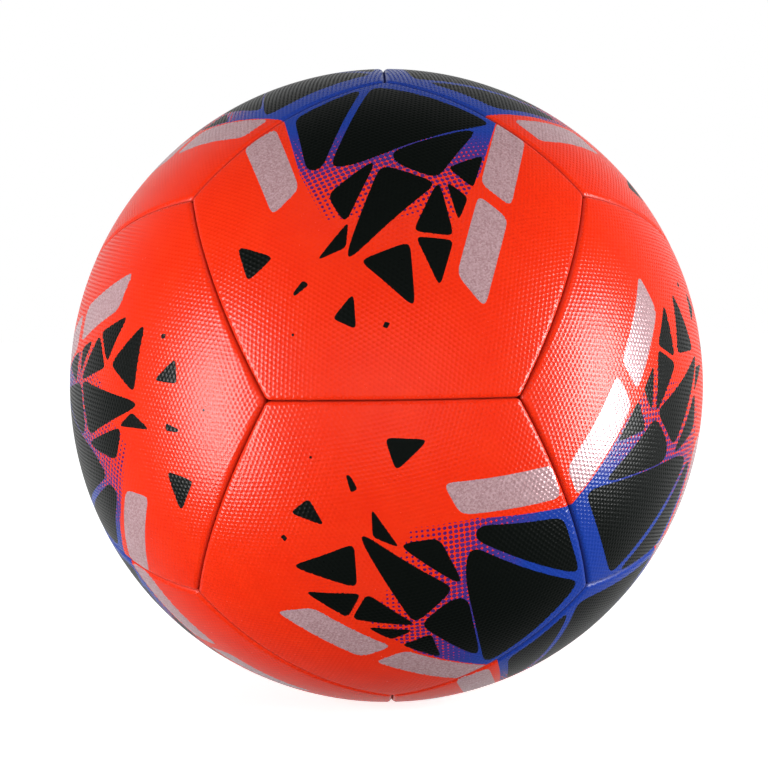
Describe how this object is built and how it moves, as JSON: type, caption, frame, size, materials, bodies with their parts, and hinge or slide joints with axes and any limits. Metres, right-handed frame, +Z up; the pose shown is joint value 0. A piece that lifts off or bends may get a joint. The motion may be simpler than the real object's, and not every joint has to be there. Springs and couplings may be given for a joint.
{
  "type": "soccer ball",
  "caption": "Round inflated ball of stitched five-sided panels with a dimpled cover, a rubber bladder and a needle valve.",
  "frame": {"origin": "the ball's centre", "axes": "+Z is up; each of X, Y and Z passes through the middles of two opposite seams, and the valve is on the +Y side, above the middle"},
  "size_m": [0.2196, 0.2196, 0.2196],
  "materials": {
    "cover_leather": "satin",
    "foam": "matte",
    "lining_cloth": "matte",
    "thread": "satin",
    "bladder_rubber": "satin",
    "patch": "matte",
    "valve_rubber": "satin"
  },
  "bodies": {
    "ball": {"panel_01_cover": "cover_leather", "panel_02_cover": "cover_leather", "panel_03_cover": "cover_leather", "panel_04_cover": "cover_leather", "panel_05_cover": "cover_leather", "panel_06_cover": "cover_leather", "panel_07_cover": "cover_leather", "panel_08_cover": "cover_leather", "panel_09_cover": "cover_leather", "panel_10_cover": "cover_leather", "panel_11_cover": "cover_leather", "panel_12_cover": "cover_leather", "panel_01_foam": "foam", "panel_02_foam": "foam", "panel_03_foam": "foam", "panel_04_foam": "foam", "panel_05_foam": "foam", "panel_06_foam": "foam", "panel_07_foam": "foam", "panel_08_foam": "foam", "panel_09_foam": "foam", "panel_10_foam": "foam", "panel_11_foam": "foam", "panel_12_foam": "foam", "panel_01_lining": "lining_cloth", "panel_02_lining": "lining_cloth", "panel_03_lining": "lining_cloth", "panel_04_lining": "lining_cloth", "panel_05_lining": "lining_cloth", "panel_06_lining": "lining_cloth", "panel_07_lining": "lining_cloth", "panel_08_lining": "lining_cloth", "panel_09_lining": "lining_cloth", "panel_10_lining": "lining_cloth", "panel_11_lining": "lining_cloth", "panel_12_lining": "lining_cloth", "seam_thread": "thread", "bladder": "bladder_rubber", "valve_patch": "patch", "valve_seat": "valve_rubber"},
    "valve_core": {"valve_core": "valve_rubber"}
  },
  "joints": [
    {"name": "valve_pull", "type": "slide", "parent": "ball", "child": "valve_core", "axis": [0, 0.8507, 0.5257], "range_m": [0, 0.024]}
  ]
}
